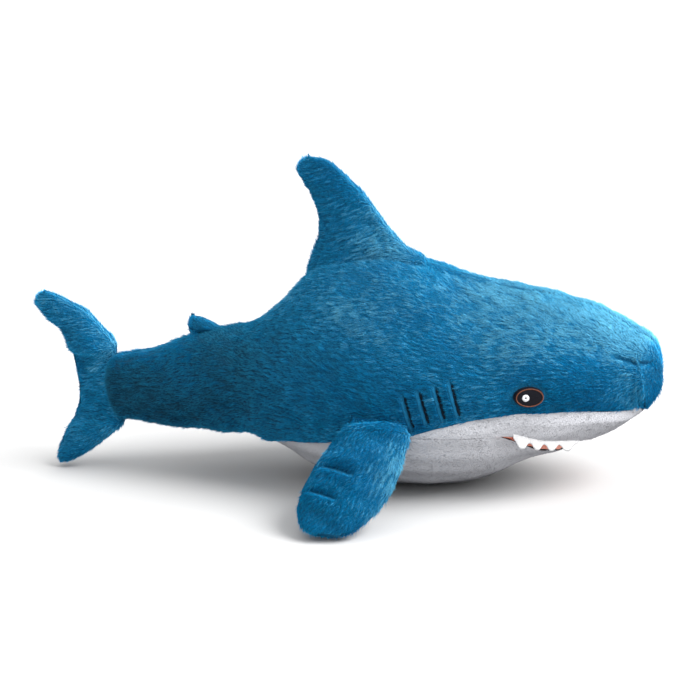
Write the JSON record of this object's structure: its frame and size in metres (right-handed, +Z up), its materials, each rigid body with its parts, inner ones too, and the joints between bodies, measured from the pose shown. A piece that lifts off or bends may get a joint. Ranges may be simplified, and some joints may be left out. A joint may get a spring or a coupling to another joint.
{
  "type": "plush shark",
  "caption": "Stuffed plush shark with a blue back and white belly, flopping fins and flippers, a bending body, a swinging tail fin and an opening jaw with felt teeth.",
  "frame": {"origin": "on the plane the belly rests on, at the middle of the overall length and on the plane of symmetry", "axes": "+X towards the nose, +Y towards the shark's left, +Z up"},
  "size_m": [0.3, 0.1704, 0.1512],
  "materials": {
    "blue_plush": "short fluffy plush pile, deep sea blue, lighter where it is brushed towards the light",
    "white_plush": "short smooth plush pile, white",
    "stuffing": "loose polyester fibre filling",
    "mouth_felt": "thin salmon felt",
    "teeth_felt": "thin white felt, cut edge",
    "eye_black_thread": "satin-stitched embroidery thread",
    "eye_amber_thread": "satin-stitched embroidery thread",
    "eye_white_thread": "satin-stitched embroidery thread",
    "gill_thread": "dark embroidery thread sunk in the pile",
    "sewing_thread": "plain sewing thread"
  },
  "bodies": {
    "trunk": {"back_panel_right_front": "blue_plush", "back_panel_left_front": "blue_plush", "belly_panel": "white_plush", "body_stuffing_front": "stuffing", "mouth_lining_upper": "mouth_felt", "teeth_strip_right": "teeth_felt", "teeth_strip_left": "teeth_felt", "eye_right_patch": "eye_black_thread", "eye_right_ring": "eye_amber_thread", "eye_right_highlight": "eye_white_thread", "eye_left_patch": "eye_black_thread", "eye_left_ring": "eye_amber_thread", "eye_left_highlight": "eye_white_thread", "gill_thread_right_1": "gill_thread", "gill_thread_right_2": "gill_thread", "gill_thread_right_3": "gill_thread", "gill_thread_right_4": "gill_thread", "gill_thread_left_1": "gill_thread", "gill_thread_left_2": "gill_thread", "gill_thread_left_3": "gill_thread", "gill_thread_left_4": "gill_thread", "closing_seam_thread": "sewing_thread"},
    "rear_body": {"back_panel_right_rear": "blue_plush", "back_panel_left_rear": "blue_plush", "body_stuffing_rear": "stuffing"},
    "tail_fin": {"tail_fin_panel_right": "blue_plush", "tail_fin_panel_left": "blue_plush", "tail_fin_stuffing": "stuffing"},
    "dorsal_fin": {"dorsal_fin_panel_right": "blue_plush", "dorsal_fin_panel_left": "blue_plush", "dorsal_fin_stuffing": "stuffing"},
    "second_dorsal_fin": {"second_dorsal_fin_panel_right": "blue_plush", "second_dorsal_fin_panel_left": "blue_plush"},
    "flipper_right": {"flipper_right_upper_panel": "blue_plush", "flipper_right_lower_panel": "blue_plush", "flipper_right_stuffing": "stuffing"},
    "flipper_left": {"flipper_left_upper_panel": "blue_plush", "flipper_left_lower_panel": "blue_plush", "flipper_left_stuffing": "stuffing"},
    "jaw": {"jaw_panel": "white_plush", "jaw_stuffing": "stuffing", "mouth_lining_lower": "mouth_felt"}
  },
  "joints": [
    {"name": "body_bend", "type": "hinge", "parent": "trunk", "child": "rear_body", "pos_m": [-0.046, 0, 0.0468], "axis": [0, 0, 1], "range_deg": [-25, 25], "stiffness_Nm_per_rad": 0.06},
    {"name": "tail_swing", "type": "hinge", "parent": "rear_body", "child": "tail_fin", "pos_m": [-0.102, 0, 0.042], "axis": [0, 0, 1], "range_deg": [-35, 35], "stiffness_Nm_per_rad": 0.02},
    {"name": "dorsal_fin_flop", "type": "hinge", "parent": "trunk", "child": "dorsal_fin", "pos_m": [0.0155, 0, 0.1095], "axis": [0.9945, 0, 0.1047], "range_deg": [-30, 30], "stiffness_Nm_per_rad": 0.02},
    {"name": "second_dorsal_fin_flop", "type": "hinge", "parent": "rear_body", "child": "second_dorsal_fin", "pos_m": [-0.061, 0, 0.0724], "axis": [0.9645, 0, 0.264], "range_deg": [-25, 25], "stiffness_Nm_per_rad": 0.005},
    {"name": "flipper_right_flap", "type": "hinge", "parent": "trunk", "child": "flipper_right", "pos_m": [0.031, -0.05, 0.037], "axis": [-1, 0, 0], "range_deg": [-12, 55], "stiffness_Nm_per_rad": 0.03},
    {"name": "flipper_left_flap", "type": "hinge", "parent": "trunk", "child": "flipper_left", "pos_m": [0.031, 0.05, 0.037], "axis": [1, 0, 0], "range_deg": [-12, 55], "stiffness_Nm_per_rad": 0.03},
    {"name": "jaw_open", "type": "hinge", "parent": "trunk", "child": "jaw", "pos_m": [0.084, 0, 0.033], "axis": [0, 1, 0], "range_deg": [-12, 14], "stiffness_Nm_per_rad": 0.02}
  ]
}
